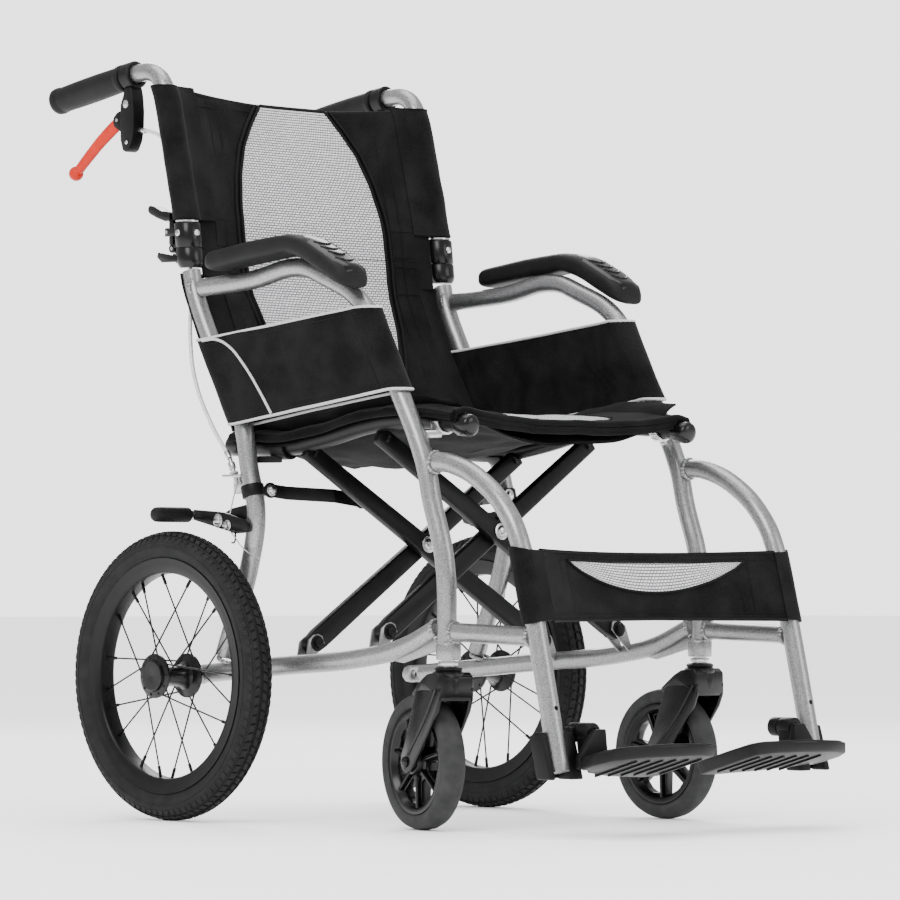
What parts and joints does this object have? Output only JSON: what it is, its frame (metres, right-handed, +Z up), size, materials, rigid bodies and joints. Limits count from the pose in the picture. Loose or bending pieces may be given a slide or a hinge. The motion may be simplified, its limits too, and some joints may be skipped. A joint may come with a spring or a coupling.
{
  "type": "folding transport wheelchair",
  "caption": "Folding attendant-pushed wheelchair: cross-braced tube frame, spoked rear wheels, front casters, half-folding back, wheel brakes, flip-up footplates",
  "frame": {"origin": "the middle of the chair's box, on the floor", "axes": "+Z up, the occupant faces -Y, +X is the occupant's left"},
  "size_m": [0.566, 0.9496, 0.8997],
  "materials": {
    "frame_paint": "light grey metallic paint with fine flake on round tube",
    "black_paint": "satin black powder coat",
    "steel": "zinc-plated bolts and washers",
    "black_plastic": "black moulded plastic, fine grain",
    "soft_black": "black soft-touch moulding",
    "fabric": "black woven nylon upholstery",
    "tyre": "dark grey block-tread tyre",
    "caster_rubber": "grey solid polyurethane tyre",
    "lever_red": "orange-red dipped lever",
    "cable_sleeve": "silver-grey cable housing"
  },
  "bodies": {
    "right_frame": {"right_rear_post": "frame_paint", "right_arm_tube": "frame_paint", "right_lower_rail": "frame_paint", "right_leg_frame": "frame_paint", "right_arm_pad": "soft_black", "right_side_panel": "fabric", "right_hinge_lower": "black_plastic", "right_brake_cable": "cable_sleeve", "right_footplate_bracket": "black_plastic", "back_panel_lower": "fabric", "calf_strap": "fabric"},
    "right_back": {"right_hinge_upper": "black_plastic", "right_cane": "frame_paint", "right_grip": "soft_black", "right_brake_housing": "black_plastic", "right_back_sleeve": "fabric", "back_panel_upper": "fabric"},
    "right_release": {"right_release_lever": "black_plastic"},
    "right_hand_lever": {"right_brake_lever": "lever_red"},
    "right_brake": {"right_brake_arm": "black_paint"},
    "right_strut": {"right_link": "black_paint"},
    "right_footrest": {"right_footplate": "black_plastic"},
    "right_rear_wheel": {"right_rear_tyre": "tyre", "right_rear_rim": "black_paint", "right_hub_spokes": "black_paint"},
    "right_swivel": {"right_caster_fork": "black_plastic"},
    "right_caster": {"right_caster_wheel": "black_plastic", "right_caster_tyre": "caster_rubber"},
    "left_frame": {"left_rear_post": "frame_paint", "left_arm_tube": "frame_paint", "left_lower_rail": "frame_paint", "left_leg_frame": "frame_paint", "left_arm_pad": "soft_black", "left_side_panel": "fabric", "left_hinge_lower": "black_plastic", "left_brake_cable": "cable_sleeve", "left_footplate_bracket": "black_plastic"},
    "left_back": {"left_hinge_upper": "black_plastic", "left_cane": "frame_paint", "left_grip": "soft_black", "left_brake_housing": "black_plastic", "left_back_sleeve": "fabric"},
    "left_release": {"left_release_lever": "black_plastic"},
    "left_hand_lever": {"left_brake_lever": "lever_red"},
    "left_brake": {"left_brake_arm": "black_paint"},
    "left_strut": {"left_link": "black_paint"},
    "left_footrest": {"left_footplate": "black_plastic"},
    "left_rear_wheel": {"left_rear_tyre": "tyre", "left_rear_rim": "black_paint", "left_hub_spokes": "black_paint"},
    "left_swivel": {"left_caster_fork": "black_plastic"},
    "left_caster": {"left_caster_wheel": "black_plastic", "left_caster_tyre": "caster_rubber"},
    "brace_b": {"left_seat_brace": "black_paint", "left_seat_half": "fabric", "rear_centre_bolt": "steel", "front_centre_bolt": "steel"},
    "brace_a": {"right_seat_brace": "black_paint", "right_seat_half": "fabric"}
  },
  "joints": [
    {"name": "fold", "type": "hinge", "parent": "right_frame", "child": "brace_b", "pos_m": [-0.176, 0.0255, 0.206], "axis": [0, -0.9936, 0.1132], "range_deg": [0, 36], "deforming": ["back_panel_upper", "back_panel_lower", "calf_strap", "right_seat_half", "left_seat_half"]},
    {"name": "centre_pivot", "type": "hinge", "parent": "brace_b", "child": "brace_a", "pos_m": [0, 0.03844, 0.31956], "axis": [0, -0.9936, 0.1132], "range_deg": [-72, 0]},
    {"name": "left_rail_pivot", "type": "hinge", "parent": "brace_a", "child": "left_frame", "pos_m": [0.176, 0.0255, 0.206], "axis": [0, -0.9936, 0.1132], "range_deg": [0, 36]},
    {"name": "right_strut_pivot", "type": "hinge", "parent": "right_frame", "child": "right_strut", "pos_m": [-0.19, 0.08893, 0.38286], "axis": [0, -0.9936, 0.1132], "range_deg": [0, 66]},
    {"name": "right_footplate_flip", "type": "hinge", "parent": "right_frame", "child": "right_footrest", "pos_m": [-0.16, -0.3975, 0.113], "axis": [0, -1, 0], "range_deg": [0, 108]},
    {"name": "right_back_fold", "type": "hinge", "parent": "right_frame", "child": "right_back", "pos_m": [-0.202, 0.2429, 0.6703], "axis": [-1, 0, 0], "range_deg": [0, 95], "deforming": ["right_brake_cable", "left_brake_cable"]},
    {"name": "right_latch_press", "type": "hinge", "parent": "right_back", "child": "right_release", "pos_m": [-0.202, 0.2525, 0.69], "axis": [-1, 0, 0], "range_deg": [0, 10], "stiffness_Nm_per_rad": 0.3},
    {"name": "right_lever_squeeze", "type": "hinge", "parent": "right_back", "child": "right_hand_lever", "pos_m": [-0.202, 0.348, 0.83], "axis": [1, 0, 0], "range_deg": [0, 17], "stiffness_Nm_per_rad": 0.8},
    {"name": "right_brake_press", "type": "hinge", "parent": "right_frame", "child": "right_brake", "pos_m": [-0.219, 0.1455, 0.348], "axis": [-1, 0, 0], "range_deg": [0, 10.4]},
    {"name": "right_wheel_spin", "type": "hinge", "parent": "right_frame", "child": "right_rear_wheel", "pos_m": [-0.252, 0.1925, 0.168], "axis": [1, 0, 0], "continuous": true},
    {"name": "right_caster_swivel", "type": "hinge", "parent": "right_frame", "child": "right_swivel", "pos_m": [-0.2, -0.2235, 0.19], "axis": [0, 0, 1], "continuous": true},
    {"name": "right_caster_spin", "type": "hinge", "parent": "right_swivel", "child": "right_caster", "pos_m": [-0.1874, -0.16894, 0.076], "axis": [0.9744, -0.225, 0], "continuous": true},
    {"name": "left_strut_pivot", "type": "hinge", "parent": "left_frame", "child": "left_strut", "pos_m": [0.19, 0.08893, 0.38286], "axis": [0, 0.9936, -0.1132], "range_deg": [0, 66]},
    {"name": "left_footplate_flip", "type": "hinge", "parent": "left_frame", "child": "left_footrest", "pos_m": [0.16, -0.3975, 0.113], "axis": [0, 1, 0], "range_deg": [0, 108]},
    {"name": "left_back_fold", "type": "hinge", "parent": "left_frame", "child": "left_back", "pos_m": [0.202, 0.2429, 0.6703], "axis": [-1, 0, 0], "range_deg": [0, 95]},
    {"name": "left_latch_press", "type": "hinge", "parent": "left_back", "child": "left_release", "pos_m": [0.202, 0.2525, 0.69], "axis": [-1, 0, 0], "range_deg": [0, 10], "stiffness_Nm_per_rad": 0.3},
    {"name": "left_lever_squeeze", "type": "hinge", "parent": "left_back", "child": "left_hand_lever", "pos_m": [0.202, 0.348, 0.83], "axis": [1, 0, 0], "range_deg": [0, 17], "stiffness_Nm_per_rad": 0.8},
    {"name": "left_brake_press", "type": "hinge", "parent": "left_frame", "child": "left_brake", "pos_m": [0.219, 0.1455, 0.348], "axis": [-1, 0, 0], "range_deg": [0, 10.4]},
    {"name": "left_wheel_spin", "type": "hinge", "parent": "left_frame", "child": "left_rear_wheel", "pos_m": [0.252, 0.1925, 0.168], "axis": [1, 0, 0], "continuous": true},
    {"name": "left_caster_swivel", "type": "hinge", "parent": "left_frame", "child": "left_swivel", "pos_m": [0.2, -0.2235, 0.19], "axis": [0, 0, 1], "continuous": true},
    {"name": "left_caster_spin", "type": "hinge", "parent": "left_swivel", "child": "left_caster", "pos_m": [0.20098, -0.16751, 0.076], "axis": [0.9998, -0.0175, 0], "continuous": true}
  ],
  "couplings": [
    {"joint": "centre_pivot", "follows": "fold", "ratio": -2},
    {"joint": "left_rail_pivot", "follows": "fold", "ratio": 1},
    {"joint": "right_strut_pivot", "follows": "fold", "ratio": 1.824},
    {"joint": "right_footplate_flip", "follows": "fold", "ratio": 2.9999},
    {"joint": "right_brake_press", "follows": "right_lever_squeeze", "ratio": 0.61},
    {"joint": "left_strut_pivot", "follows": "fold", "ratio": 1.824},
    {"joint": "left_footplate_flip", "follows": "fold", "ratio": 2.9999},
    {"joint": "left_brake_press", "follows": "left_lever_squeeze", "ratio": 0.61},
    {"joint": "left_back_fold", "follows": "right_back_fold", "ratio": 1}
  ]
}
